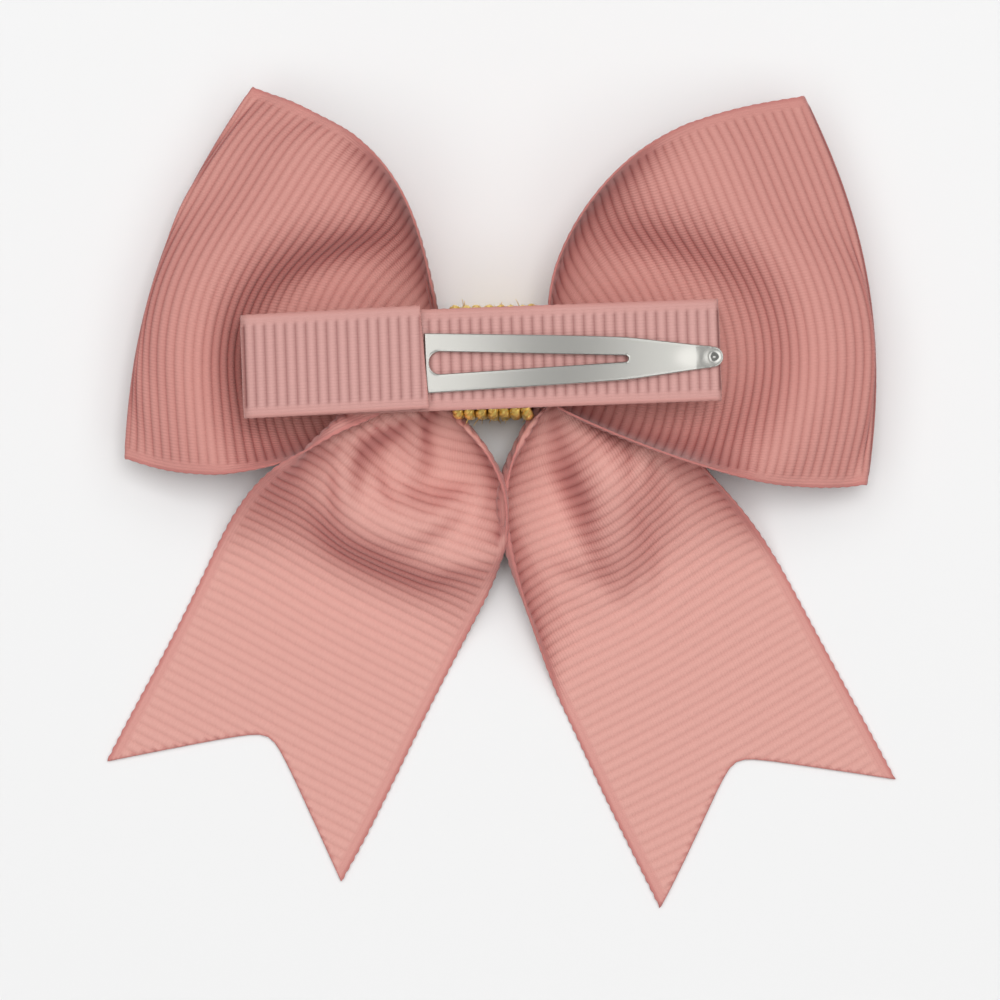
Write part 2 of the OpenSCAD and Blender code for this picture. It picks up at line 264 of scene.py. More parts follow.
def back_level(side, x, y, t):
    """Height of a loop's back layer: puffed round a hollow under the clip, and falling to the outer fold."""
    (cx, cy), (a, b) = HOLLOW[side]
    e = np.sqrt(((x - cx) / a) ** 2 + ((y - cy) / b) ** 2)
    fall = (HIGH_Z - EDGE_Z - FOLD_R) * np.clip((t - 0.74) / 0.26, 0, 1)
    return mix(LOW_Z[side], HIGH_Z, smooth((e - 0.7) / 0.55)) - fall


def relaxed_loop(side):
    low, top, out = loop_plan(side)
    bulge = 3.0 if side < 0 else 3.3
    half, r = LOOP_HALF[side], FOLD_R
    flat = half - math.pi * r / 2
    rows = int(round(2 * half / STEP)) + 1
    cols = int(round(LOOP_W / (STEP * 1.25))) + 1
    du = 2 * half / (rows - 1)
    u = np.linspace(0, 2 * half, rows)
    v = np.linspace(-1, 1, cols)
    near = np.minimum(u, 2 * half - u)               # ribbon between this row and the knot
    t = np.minimum(near / flat, 1.0)
    low[-1] -= out * r
    top[-1] -= out * r
    corner, fold_l = low[-1].copy(), np.linalg.norm(top[-1] - low[-1])
    up = (top[-1] - corner) / fold_l
    low_path, top_path = evenly(low, t), evenly(top, t)
    squeeze = packed(np.linalg.norm(top_path - low_path, axis=1), LOOP_W)
    end_z = LEFT_Z if side < 0 else RIGHT_Z
    back = u < half
    wave = np.sin(np.pi * np.clip((near - 6) / 20, 0, 1)) ** 2
    climb = (EDGE_Z - FOLD_R - FACE_Z) * np.clip((t - 0.8) / 0.2, 0, 1)
    face = mix(FRONT_Z, FACE_Z, smooth(near / 7)) + 2.6 * wave + climb
    p = np.zeros((rows, cols, 3))
    for i in range(rows):
        a, b = low_path[i], top_path[i]
        share = np.linalg.norm(b - a) / (LOOP_W * squeeze[i])
        y, z = pleat(min(share, 1.0), v, 2)
        turn = (u[i] - flat) / r if flat < u[i] < 2 * half - flat else 0.0
        plan = a + (b - a) * y[:, None] + out * (bulge * t[i] ** 2 * (1 - v * v))[:, None]
        plan = plan + out * r * math.sin(turn)
        p[i, :, :2] = plan
        level = back_level(side, plan[:, 0], plan[:, 1], t[i]) if back[i] else face[i]
        level = mix(end_z if back[i] else FRONT_Z, level, smooth(near[i] / 5))
        if turn:
            level = EDGE_Z + r * math.cos(turn)
        p[i, :, 2] = level + z * LOOP_W / 2 * squeeze[i]
    last = rows - 1
    for i in (0, 1):
        x = KNOT_X[side] + side * i * du
        p[i] = knot_row(x, end_z, KNOT_LOW + 0.4, KNOT_TOP - 0.4, v)
        p[last - i] = knot_row(x, FRONT_Z, KNOT_LOW + 0.4, KNOT_TOP - 0.4, v)
    tuck = np.where(back, 0.0, 0.045)[:, None]       # the face layer stays hidden behind the back one
    shift = np.where(back, 0.0, 0.4)[:, None] * out
    low_goal, top_goal = mix(low_path, top_path, tuck) - shift, mix(top_path, low_path, tuck) - shift
    n = int(flat / du)
    edge_rows = np.r_[0:n + 1, last - n:last + 1]
    weight = np.where(back[edge_rows], 0.25, 0.18)[:, None] * np.array([1.0, 1.0, 0.0])
    zero = np.zeros((len(edge_rows), 1))
    goals = [(edge_rows, 0, np.c_[low_goal[edge_rows], zero], weight),
             (edge_rows, cols - 1, np.c_[top_goal[edge_rows], zero], weight)]
    rim = slice(rows // 2 - 1, rows // 2 + 2)
    goals.append((rim, slice(None), p[rim].copy(), np.array([0.5, 0.5, 0.1])))
    goals += [(i, slice(None), p[i].copy(), 1.0) for i in (0, 1, last - 1, last)]
    held = np.flatnonzero((near > 5) & (near < flat) & back)
    faced = np.flatnonzero((near > 5) & (near < flat) & ~back)
    top_order, low_order = np.argsort(top_path[:rows // 2, 1]), np.argsort(low_path[:rows // 2, 0])
    top_y, top_x = top_path[:rows // 2][top_order].T[::-1]
    low_x, low_y = low_path[:rows // 2][low_order].T

    def limits(q, k):
        gap = back_level(side, q[held, :, 0], q[held, :, 1], t[held][:, None]) - q[held, :, 2]
        q[held, :, 2] += 0.05 * gap.mean(axis=1)[:, None] + 0.03 * gap
        q[faced, :, 2] += 0.04 * (face[faced] - q[faced, :, 2].mean(axis=1))[:, None]
        inset = np.where(back, 0.0, 0.5)[edge_rows][:, None]
        x, y = q[edge_rows, :, 0], q[edge_rows, :, 1]
        past = np.minimum(side * (x - np.interp(y, top_y, top_x)) - inset, 0)
        q[edge_rows, :, 0] = x - 0.5 * side * past
        q[edge_rows, :, 1] = y - 0.5 * np.minimum(y - np.interp(x, low_x, low_y) - inset, 0)
        ahead = q[..., :2] - corner
        bow = bulge * np.maximum(1 - (2 * ahead @ up / fold_l - 1) ** 2, 0)
        past = np.maximum(ahead @ out - bow - r + np.where(back, 0.0, 0.35)[:, None], 0)
        q[..., :2] -= 0.6 * past[..., None] * out
        if k % 4 == 0:
            roof = Field(q[back], False, 1.0).at(q[faced]) - 0.5
            q[faced, :, 2] = np.minimum(q[faced, :, 2], np.maximum(roof, FLOOR))
        under_clip(q)
    relax(p, du, LOOP_W / (cols - 1) * squeeze, goals, STEPS, limits, crease=rows // 2)
    calm = smooth(np.minimum(near - 2, np.abs(u - half) - 1.5) / 2.5)[:, None, None]
    return ironed(p, calm, 14)


def under_clip(p):
    """Keeps points below the clip where it covers them."""
    ceiling = CLIP_LOW[2] - 0.35
    x, y = p[..., 0], p[..., 1]
    inside = (x > CLIP_LOW[0] - 0.8) & (x < CLIP_HIGH[0] + 0.8) & (y > CLIP_LOW[1]) & (y < CLIP_HIGH[1])
    p[..., 2] = np.where(inside, np.minimum(p[..., 2], ceiling), p[..., 2])


def through_knot(a, b, count):
    """Rows between two pinned rows, without either of them."""
    t = np.arange(1, count)[:, None, None] / count
    return mix(a, b, t)


def loop_sheet(grids):
    """One strip: from inside the knot round the left loop, across the knot and round the right loop."""
    left, right = grids[-1], grids[1]
    across = int(round((KNOT_RIGHT - KNOT_LEFT) / STEP))
    inset = 2

    def tucked(grid, side):
        rows = [grid[0] - np.array([side * STEP * k, 0, 0]) for k in range(across - inset, 0, -1)]
        return np.array(rows)
    rows = [tucked(left, -1), left, through_knot(left[-1], right[-1], across), right[::-1], tucked(right, 1)[::-1]]
    grid = np.concatenate(rows)
    return Sheet(grid, STEP * (len(grid) - 1), LOOP_W)


# ---------------------------------------------------------------- tails

TAIL_LENGTH = {-1: 52.5, 1: 54.0}    # ribbon from the knot to the tips of the cut end
NOTCH = 10.4


def layer_points(grid, first, last):
    """Points of part of a relaxed grid, close enough together to fill every cell."""
    sheet = Sheet(grid, len(grid) - 1.0, 2.0)
    u, v = np.meshgrid(np.linspace(first, last, 4 * (last - first)), np.linspace(-1, 1, 160), indexing="ij")
    return sheet.point(u, v)


def tail_plan(side):
    """Edges of a tail seen from above, from the knot to the tips: inner edge and outer edge."""
    if side < 0:
        inner = [(-5.2, 9.0), (7.2, -2.7), (-1.2, -8.3), (-7.2, -18.0), (-9.8, -28.5), (-15.6, -37.3)]
        outer = [(-5.5, 12.5), (-14.6, 2.6), (-32.8, 5.1), (-21.9, -2.1), (-32.8, -13.2), (-38.5, -25.6)]
    else:
        inner = [(4.2, 9.0), (-2.2, 2.9), (0.2, -5.4), (4.9, -19.5), (11.7, -32.2), (15.6, -39.9)]
        outer = [(4.3, 12.5), (17.4, 4.1), (26.9, 2.5), (27.1, -9.8), (34.3, -17.8), (38.6, -27.4)]
    return np.array(inner, float), np.array(outer, float)


def relaxed_tail(side, loop):
    inner, outer = tail_plan(side)
    length = TAIL_LENGTH[side]
    rows = int(round(length / STEP)) + 1
    cols = int(round(TAIL_W / STEP)) + 1
    du = length / (rows - 1)
    u = np.linspace(0, length, rows)
    v = np.linspace(-1, 1, cols)
    in_path, out_path = evenly(inner, u / length), evenly(outer, u / length)
    squeeze = packed(np.linalg.norm(out_path - in_path, axis=1), TAIL_W)
    p = np.zeros((rows, cols, 3))
    for i in range(rows):
        a, b = in_path[i], out_path[i]
        chord = b - a
        wide = np.linalg.norm(chord)
        slack = TAIL_W * squeeze[i] / wide
        arc = min(slack, 1.12)                       # part of the slack that goes into a bowed row
        sag = wide * math.sqrt(max(arc - 1, 0) * 3 / 8)
        ahead = np.array([chord[1], -chord[0]]) / wide * side
        y, z = pleat(min(arc / slack, 1.0), v, 2)
        p[i, :, :2] = a + chord * y[:, None] + ahead * (sag * (1 - v * v))[:, None]
        s = u[i] / length
        if side < 0:
            level = mix(mix(TAIL_Z, 7.6, smooth(s / 0.2)), FLOOR, smooth((s - 0.3) / 0.5))
        else:
            level = mix(mix(TAIL_Z, 4.4, smooth(s / 0.2)), FLOOR, smooth((s - 0.2) / 0.5))
        p[i, :, 2] = level + z * TAIL_W / 2 * squeeze[i]
    for i in (0, 1):
        p[i] = knot_row(KNOT_X[side] + side * i * du, TAIL_Z, 9.4, 15.0, v, 0.5)
    back = layer_points(loop, 0, len(loop) // 2)
    front = layer_points(loop, len(loop) // 2, len(loop) - 1)
    over = Field(back if side < 0 else front, True)
    under = None if side < 0 else Field(back, False)

    def limits(q, k):
        floor = over.at(q) + 0.45
        z = q[..., 2]
        if under is not None:
            roof = under.at(q) - 0.45
            both = (floor > -100) & (roof < 100) & (floor > roof)
            floor, roof = np.where(both, (floor + roof) / 2, floor), np.where(both, (floor + roof) / 2, roof)
            z = np.minimum(z, roof)
        q[2:, :, 2] = z[2:] + 0.5 * np.maximum(floor - z, 0)[2:]
        under_clip(q)
    hold = mix(0.45, 0.2, smooth(u / 30))[:, None] * np.array([1.0, 1.0, 0.0])
    goals = [(slice(0, rows), 0, np.c_[in_path, np.zeros(rows)], hold),
             (slice(0, rows), cols - 1, np.c_[out_path, np.zeros(rows)], hold)]
    sink = 0.03 * smooth((u / length - 0.35) / 0.45)[:, None, None] * np.array([0.0, 0.0, 1.0])
    goals.append((slice(0, rows), slice(None), np.full(3, FLOOR), sink))
    goals += [(i, slice(None), p[i].copy(), 1.0) for i in (0, 1)]
    return relax(p, du, TAIL_W / (cols - 1) * squeeze, goals, STEPS, limits,
                 bend_u=0.1, bend_v=0.2)


def tail_sheet(grids):
    """One strip from the tips of the left tail through the knot to the tips of the right tail."""
    left, right = grids[-1], grids[1]
    across = int(round((KNOT_RIGHT - KNOT_LEFT) / STEP))
    grid = np.concatenate([left[::-1], through_knot(left[0], right[0], across), right])
    return Sheet(grid, STEP * (len(grid) - 1), TAIL_W)


# ---------------------------------------------------------------- clip lining

def on_clip(p, turn=0.0, shift=(0.0, 0.0)):
    """Moves points from the clip's own frame (x along it from its base) to the shared frame."""
    a = CLIP_TURN + turn
    out = np.array(p, float)
    base = CLIP_BASE[:2] + np.array([[math.cos(CLIP_TURN), -math.sin(CLIP_TURN)],
                                     [math.sin(CLIP_TURN), math.cos(CLIP_TURN)]]) @ np.array(shift)
    x, y = out[..., 0].copy(), out[..., 1].copy()
    out[..., 0] = base[0] + x * math.cos(a) - y * math.sin(a)
    out[..., 1] = base[1] + x * math.sin(a) + y * math.cos(a)
    return out


LINING_Z, FRAME_Z, MIDDLE_Z, ROOT_Z, TONGUE_Z, SLEEVE_Z = 10.452, 10.862, 11.412, 11.412, 11.872, 12.472
RIBBON_T = 0.36
STEEL_T = 0.5
MOUTH, LINING_L = 17.6, 46.0


def lining_sheet():
    """The strip in side view: sleeve, fold at the base, under the frame, fold at the tip, over the frame."""
    low, mid, high = LINING_Z + RIBBON_T / 2, MIDDLE_Z + RIBBON_T / 2, SLEEVE_Z + RIBBON_T / 2
    r0, r1 = (high - low) / 2, (mid - low) / 2
    x0, x1 = RIBBON_T / 2 + r0, LINING_L - RIBBON_T / 2 - r1
    a = np.linspace(0, math.pi, 24)
    path = np.concatenate([
        np.c_[np.linspace(MOUTH + 0.6, x0, 60), np.full(60, high)],
        np.c_[x0 - r0 * np.sin(a), low + r0 * (1 + np.cos(a))],
        np.c_[np.linspace(x0, x1, 150), np.full(150, low)],
        np.c_[x1 + r1 * np.sin(a), low + r1 * (1 - np.cos(a))],
        np.c_[np.linspace(x1, MOUTH - 0.6, 90), np.full(90, mid)]])
    run = np.r_[0, np.cumsum(np.linalg.norm(np.diff(path, axis=0), axis=1))]
    length = run[-1]
    rows = int(length / 0.2)
    s = np.linspace(0, length, rows)
    x, z = np.interp(s, run, path[:, 0]), np.interp(s, run, path[:, 1])
    cols = 12
    v = np.linspace(-1, 1, cols)
    sleeve = smooth(1 - (s - MOUTH) / 2.0)
    p = np.zeros((rows, cols, 3))
    p[..., 0] = x[:, None]
    askew = np.tan(math.radians(1.0)) * (x - 0.5)[:, None] * sleeve[:, None]
    p[..., 1] = v * (LINING_W / 2 + 0.08 * sleeve[:, None]) + askew
    p[..., 2] = z[:, None] - 0.14 * sleeve[:, None] * v ** 4
    return Sheet(on_clip(p), length, LINING_W)


# ---------------------------------------------------------------- ribbon meshes

RIB_PHASES = np.array([0.0, 0.1, 0.3, 0.5, 0.7, 0.9])
SELVEDGE = 1.05


def ribbon_columns(width, spacing):
    """Places across a ribbon, close together at its selvedges."""
    edge = np.array([0.0, 0.12, 0.4, 0.8, 1.15, 1.45])
    inner = width / 2 - edge[-1]
    n = max(2, int(round(2 * inner / spacing)))
    body = np.linspace(-inner, inner, n + 1)[1:-1]
    return np.r_[-width / 2 + edge, body, width / 2 - edge[::-1]]


def ribbon_mesh(name, sheet, rib, spacing=1.1, depth=0.12, core=0.07, selvedge=SELVEDGE, cuts=None,
                flat_groove_shade=0.42, picot_size=0.05):
    """A closed ribbon with real ribs along a sheet; cuts(v) gives how much each end is cut back.

    The attribute edge deepens the colour at the selvedges and cut ends, and paints shade where the cloth leans
    away from +Z; the second attribute paints shade between the ribs, deeper where the cloth leans.
    The painted shade on slopes is made for the view from above.
    """
    last = int(sheet.length / rib)
    u = np.concatenate([(k + RIB_PHASES) * rib for k in range(last)] + [[last * rib, sheet.length]])
    v = ribbon_columns(sheet.width, spacing)
    rows, cols = len(u), len(v)
    begin, stop = np.zeros(cols), np.full(cols, sheet.length)
    if cuts is not None:
        begin, back = cuts(v)
        stop = stop - back
    uu = np.clip(u[:, None], begin, stop)
    vv = np.broadcast_to(v, uu.shape)
    first_row = np.searchsorted(u, begin + 1e-6) - 1
    last_row = np.searchsorted(u, stop - 1e-6)
    index = np.clip(np.arange(rows)[:, None], np.maximum(first_row, 0), last_row) * cols + np.arange(cols)
    body = smooth((sheet.width / 2 - np.abs(vv) - selvedge + 0.25) / 0.4)
    wave = np.abs(np.sin(np.pi * uu / rib)) ** 0.75
    picot = 0.5 - 0.5 * np.cos(2 * np.pi * uu / rib)
    half = core + depth * (body * wave + (1 - body) * (0.35 + 0.2 * picot))
    rim = smooth(1 - (sheet.width / 2 - np.abs(vv)) / 0.12)
    sealed = smooth(1 - np.minimum(stop - uu, uu - begin) / 0.3)
    half = half * (1 - 0.35 * rim) * (1 - 0.4 * sealed)
    p = sheet.point(uu, vv)
    n = sheet.normal(uu, vv)
    across = sheet.point(uu, vv + 0.1) - sheet.point(uu, vv - 0.1)
    across /= np.linalg.norm(across, axis=-1, keepdims=True)
    p = p + across * (np.sign(vv) * rim * picot_size * picot)[..., None]
    top = (p + n * half[..., None]).reshape(-1, 3)
    bottom = (p - n * half[..., None]).reshape(-1, 3)
    corners = np.stack([index[:-1, :-1], index[1:, :-1], index[1:, 1:], index[:-1, 1:]], axis=-1).reshape(-1, 4)
    line = smooth(1 - (sheet.width / 2 - np.abs(vv)) / 0.5)
    lean = 1 - np.abs(n[..., 2])
    edge = np.maximum(np.maximum(0.35 * (1 - body), line), sealed)
    # painted shade: deeper colour where the cloth leans away from +Z, as if lit from above
    edge = np.maximum(edge, np.clip(2.2 * lean, 0, 0.9))
    # painted shade between the ribs, deeper where the cloth leans
    groove_shade_strength = np.clip(flat_groove_shade + 1.9 * lean, 0, 1.0)
    coords = np.stack([uu, vv, edge, (1 - wave) * body * groove_shade_strength], axis=-1).reshape(-1, 4)
    return mesh_object(name, *closed_sheet(top, bottom, corners, coords))


def closed_sheet(top, bottom, quads, coords):
    """Faces of both sides of a sheet and of its rim; quads that have shrunk to a line are dropped."""
    faces, edges = [], {}
    for q in quads.tolist():
        f = [a for k, a in enumerate(q) if a != q[k - 1]]
        if len(f) > 2:
            faces.append(f)
            for k, a in enumerate(f):
                edges[(f[k - 1], a)] = True
    count = len(top)
    both = list(faces)
    both += [[a + count for a in reversed(f)] for f in faces]
    both += [[b, a, a + count, b + count] for a, b in edges if (b, a) not in edges]
    verts = np.concatenate([top, bottom])
    used = np.unique(np.concatenate([np.array(f) for f in both]))
    new = np.full(len(verts), -1)
    new[used] = np.arange(len(used))
    both = [[int(new[a]) for a in f] for f in both]
    return verts[used], both, np.concatenate([coords, coords])[used]


def mesh_object(name, verts, faces, coords=None):
    mesh = bpy.data.meshes.new(name)
    mesh.from_pydata((np.asarray(verts) * MM).tolist(), [], faces)
    mesh.update()
    if coords is not None:
        coords = np.asarray(coords)
        layer = mesh.uv_layers.new(name="cloth")
        corner = np.zeros(len(mesh.loops), int)
        mesh.loops.foreach_get("vertex_index", corner)
        layer.data.foreach_set("uv", (coords[corner, :2] / 100).ravel())
        # the first attribute holds the selvedge colour and painted shade on slopes, the second painted shade between
        # the ribs
        for k, word in enumerate(("edge", "painted_groove_shade")[:coords.shape[1] - 2]):
            mesh.attributes.new(word, "FLOAT", "POINT").data.foreach_set("value", coords[:, 2 + k].copy())
    mesh.polygons.foreach_set("use_smooth", np.ones(len(mesh.polygons), bool))
    obj = bpy.data.objects.new(name, mesh)
    bpy.context.scene.collection.objects.link(obj)
    return obj


# ---------------------------------------------------------------- cords

def frames_along(path):
    """Tangent and two sideways directions at each point of a path, turned as little as possible."""
    t = np.gradient(path, axis=0)
    t /= np.linalg.norm(t, axis=1, keepdims=True)
    side = np.cross(t[0], (0, 0, 1.0))
    if np.linalg.norm(side) < 0.1:
        side = np.cross(t[0], (0, 1.0, 0))
    a = np.zeros_like(path)
    for i in range(len(path)):
        side = side - t[i] * (side @ t[i])
        side /= np.linalg.norm(side)
        a[i] = side
    return t, a, np.cross(t, a)


def tube(path, radius, sides=8):
    """Vertices and faces of a round tube with closed ends; radius may change along it."""
    _, a, b = frames_along(path)
    q = np.linspace(0, 2 * np.pi, sides, endpoint=False)
    radius = np.broadcast_to(radius, (len(path),))[:, None, None]
    v = path[:, None] + radius * (a[:, None] * np.cos(q)[None, :, None] + b[:, None] * np.sin(q)[None, :, None])
    n = len(path)
    faces = [[i * sides + k, i * sides + (k + 1) % sides, (i + 1) * sides + (k + 1) % sides, (i + 1) * sides + k]
             for i in range(n - 1) for k in range(sides)]
    faces += [list(range(sides))[::-1], [(n - 1) * sides + k for k in range(sides)]]
    return v.reshape(-1, 3), faces


def joined(parts):
    verts, faces, start = [], [], 0
    for v, f in parts:
        verts.append(v)
        faces += [[a + start for a in face] for face in f]
        start += len(v)
    return np.concatenate(verts), faces


def twisted(path, strands, radius, offset, lay, sides=8):
    """Strands wound round a path; lay is the length of one turn."""
    _, a, b = frames_along(path)
    run = np.r_[0, np.cumsum(np.linalg.norm(np.diff(path, axis=0), axis=1))]
    parts = []
    for k in range(strands):
        q = (2 * np.pi * (run / lay + k / strands))[:, None]
        parts.append(tube(path + offset * (a * np.cos(q) + b * np.sin(q)), radius, sides))
    return joined(parts)


def winding_path(a, b, pitch, turns, steps):
    """A helix round the knot with the same flat-sided oval section as the cord wound on it."""
    w = np.linspace(0, 2 * np.pi * turns, int(steps * turns) + 1)
    r = 1 / ((np.abs(np.cos(w)) / a) ** 8 + (np.abs(np.sin(w)) / b) ** 8) ** (1 / 8)
    x = KNOT_MID[0] + pitch * (w / (2 * np.pi) - turns / 2)
    return np.stack([x, KNOT_MID[1] + r * np.cos(w), KNOT_MID[2] + r * np.sin(w)], axis=1)


KNOT_MID = np.array([-0.6, 13.3, 5.05])
BUNDLE = (8.2, 7.14)                 # height and thickness of the gathered ribbons
THREAD_ROOM = 0.38
CORD_TOP = 10.08                     # the glue under the clip starts here


def gold_wrap():
    a, b = BUNDLE[0] / 2 + THREAD_ROOM + CORD_D / 2, BUNDLE[1] / 2 + THREAD_ROOM + CORD_D / 2
    path = winding_path(a, b, CORD_D + 0.05, 7, 150)
    _, s, n = frames_along(path)
    wobble = np.cumsum(rng.normal(0, 1, (len(path), 2)), axis=0)
    wobble -= np.stack([np.convolve(wobble[:, k], np.ones(41) / 41, "same") for k in (0, 1)], axis=1)
    path = path + 0.08 * (s * wobble[:, :1] + n * wobble[:, 1:]) / 3
    verts, faces = twisted(path, 3, 0.29, 0.25, 2.1)
    verts[:, 2] = np.clip(verts[:, 2], 0.02, CORD_TOP)
    parts = [(verts, faces)]
    run = len(path)
    for _ in range(420):
        k = int(rng.integers(20, run - 20))
        q = rng.uniform(0, 2 * np.pi)
        out = s[k] * math.cos(q) + n[k] * math.sin(q)
        ahead = path[k + 1] - path[k]
        ahead /= np.linalg.norm(ahead)
        if (path[k] + out - KNOT_MID)[1:] @ out[1:] < 2:
            continue
        ahead = ahead * rng.choice((-1, 1)) + rng.normal(0, 0.35, 3)
        reach = rng.uniform(0.25, 0.7)
        t = np.linspace(0, 1, 7)[:, None]
        hair = path[k] + out * 0.45 + ahead * reach * t + out * reach * rng.uniform(0.3, 0.9) * t * t
        hair[:, 2] = np.clip(hair[:, 2], 0.08, CORD_TOP - 0.06)    # none of them goes into the surface or the clip
        parts.append(tube(hair, 0.055 * (1 - 0.6 * t[:, 0]), 4))
    return joined(parts)


def thread():
    a, b = BUNDLE[0] / 2 + THREAD_ROOM - 0.105, BUNDLE[1] / 2 + THREAD_ROOM - 0.105
    return twisted(winding_path(a, b, 0.5, 5, 90), 2, 0.045, 0.035, 0.5, 6)


# ---------------------------------------------------------------- steel

def plate(outline_in, outline_out, u, z, t, bevel=0.12, columns=9):
    """A bevelled plate in two halves that meet on its middle line where it has no slot.

    outline_in and outline_out give the half width of the slot and of the plate at u for each side (-1, 1);
    z(u, v) lifts the middle of the plate.
    """
    edge = np.array([0.0, 0.1, 0.35, 1.0]) * bevel
    grids = {}
    for side in (-1, 1):
        lo, hi = outline_in(u, side), outline_out(u, side)
        room = np.maximum(hi - lo, 1e-4)
        open_slot = lo > 1e-4
        f = np.linspace(0, 1, columns)
        cols = []
        for k in range(len(edge)):
            cols.append(lo + np.minimum(edge[k], room / 2))
        for x in f[1:-1]:
            cols.append(lo + np.minimum(bevel, room / 2) + x * np.maximum(room - 2 * bevel, 0))
        for k in range(len(edge))[::-1]:
            cols.append(hi - np.minimum(edge[k], room / 2))
        v = np.stack(cols, axis=1)
        from_slot = np.where(open_slot[:, None], v - lo[:, None], 9.0)
        from_rim = hi[:, None] - v
        grids[side] = (v, np.minimum(from_slot, from_rim))
    v = np.concatenate([-grids[-1][0][:, ::-1], grids[1][0]], axis=1)
    d = np.concatenate([grids[-1][1][:, ::-1], grids[1][1]], axis=1)
    end = np.minimum(u - u[0], u[-1] - u)[:, None]
    d = np.minimum(d, np.where(end < bevel, end, 9.0))
    drop = bevel - np.sqrt(np.maximum(bevel ** 2 - (bevel - np.clip(d, 0, bevel)) ** 2, 0))
    uu = np.broadcast_to(u[:, None], v.shape)
    zz = z(uu, v)
    top = np.stack([uu, v, zz + t / 2 - drop], axis=-1)
    low = np.stack([uu, v, zz - t / 2 + drop], axis=-1)
    rows, cols = v.shape
    half = cols // 2
    number = np.arange(rows * cols).reshape(rows, cols)
    slot = (grids[1][0][:, 0] > 1e-4) | (grids[-1][0][:, 0] > 1e-4)
    number[~slot, half] = number[~slot, half - 1]
    quads = np.stack([number[:-1, :-1], number[1:, :-1], number[1:, 1:], number[:-1, 1:]], axis=-1)
    keep = np.ones((rows - 1, cols - 1), bool)
    keep[:, half - 1] = False
    return closed_sheet(top.reshape(-1, 3), low.reshape(-1, 3), quads[keep], np.stack([uu, v], axis=-1).reshape(-1, 2))


TONGUE_L, TONGUE_HALF = 28.6, 2.9
SLOT = ((1.45, 1.07), (19.2, 0.3))   # place and radius of the slot's two ends
TIP_R = 1.0


def tongue_outline(u, side):
    tip = TONGUE_L - TIP_R
    at = [0.0, 15.0, 19.5, 24.6, tip]
    wide = np.array([1.0, 0.79 + 0.01 * side, 0.71 + 0.01 * side, 0.48, TIP_R / TONGUE_HALF]) * TONGUE_HALF
    w = np.interp(u, at, wide)
    w = np.mean([np.interp(np.clip(u + k, 0, tip), at, wide) for k in np.linspace(-1.2, 1.2, 9)], axis=0)
    round_end = np.sqrt(np.maximum(TIP_R ** 2 - np.maximum(u - tip, 0) ** 2, 0))
    return np.where(u > tip - 0.2, np.minimum(round_end, w), w)


def tongue_slot(u, side):
    (u0, r0), (u1, r1) = SLOT
    straight = np.interp(u, [u0, u1], [r0, r1])
    start = np.sqrt(np.maximum(r0 ** 2 - (u - u0) ** 2, 0))
    stop = np.sqrt(np.maximum(r1 ** 2 - (u - u1) ** 2, 0))
    w = np.where(u < u0, start, np.where(u > u1, stop, straight))
    return np.where((u < u0 - r0) | (u > u1 + r1), 0.0, w)


def tongue_mesh():
    (u0, r0), (u1, r1) = SLOT
    q = np.linspace(0, np.pi / 2, 10)
    u = np.concatenate([np.linspace(0.0, u0 - r0, 8), u0 - r0 * np.cos(q), np.linspace(u0, u1, 70),
                        u1 + r1 * np.sin(q), np.linspace(u1 + r1, TONGUE_L - TIP_R - 2.4, 30),
                        np.linspace(TONGUE_L - TIP_R - 2.4, TONGUE_L - TIP_R, 34),
                        TONGUE_L - TIP_R + TIP_R * np.sin(q)])
    u = np.unique(np.round(u, 5))
    dimple = TONGUE_L - TIP_R + 0.15

    def height(x, y):
        camber = 0.5 * np.sin(np.pi * np.clip(x / 26.0, 0, 1)) - 0.04 * (y / TONGUE_HALF) ** 2
        dish = -0.2 * np.exp(-((x - 26.4) / 1.3) ** 2 - (y / 0.75) ** 2)
        pit = -0.3 * np.exp(-((x - dimple) ** 2 + y ** 2) / 0.3 ** 2)
        return TONGUE_Z + STEEL_T / 2 + camber + dish + pit
    verts, faces, coords = plate(tongue_slot, tongue_outline, u, height, STEEL_T)
    return on_clip(verts, math.radians(-0.8), (MOUTH, -0.3)), faces, coords


FRAME_U = (2.4, 44.9)
FRAME_HALF, FRAME_TIP, LEG = 4.5, 1.8, 1.3
RIVET_U, RIVET_Y = 6.5, 1.7


def frame_mesh():
    tip = FRAME_U[1] - FRAME_TIP
    start = 11.0
    u = np.unique(np.concatenate([np.linspace(FRAME_U[0], start - 0.01, 30), np.linspace(start + 0.01, tip - 1, 80),
                                  np.linspace(tip - 0.99, tip, 8),
                                  tip + FRAME_TIP * np.sin(np.linspace(0, np.pi / 2, 12))]))

    def outer(x, side):
        w = np.interp(x, [0, MOUTH, tip], [FRAME_HALF, FRAME_HALF, FRAME_TIP])
        return np.where(x > tip, np.sqrt(np.maximum(FRAME_TIP ** 2 - (x - tip) ** 2, 0)), w)

    def inner(x, side):
        w = np.interp(x, [0, MOUTH, tip - 1], [FRAME_HALF - LEG, FRAME_HALF - LEG, FRAME_TIP - 1])
        return np.where((x > start) & (x < tip - 1), w, 0.0)
    verts, faces, coords = plate(inner, outer, u, lambda x, y: FRAME_Z + STEEL_T / 2 + 0 * x, STEEL_T)
    return on_clip(verts), faces, coords


def root_mesh():
    """The hidden base of the tongue, with the step that lifts it over the lining."""
    ramp, end = 13.0, MOUTH - 0.27
    u = np.linspace(FRAME_U[0], end, 60)
    verts, faces, coords = plate(
        lambda x, side: 0 * x, lambda x, side: np.interp(x, [ramp, end], [3.7, TONGUE_HALF]), u,
        lambda x, y: mix(ROOT_Z, TONGUE_Z, smooth((x - ramp) / (MOUTH - 0.6 - ramp))) + STEEL_T / 2, STEEL_T)
    return on_clip(verts), faces, coords


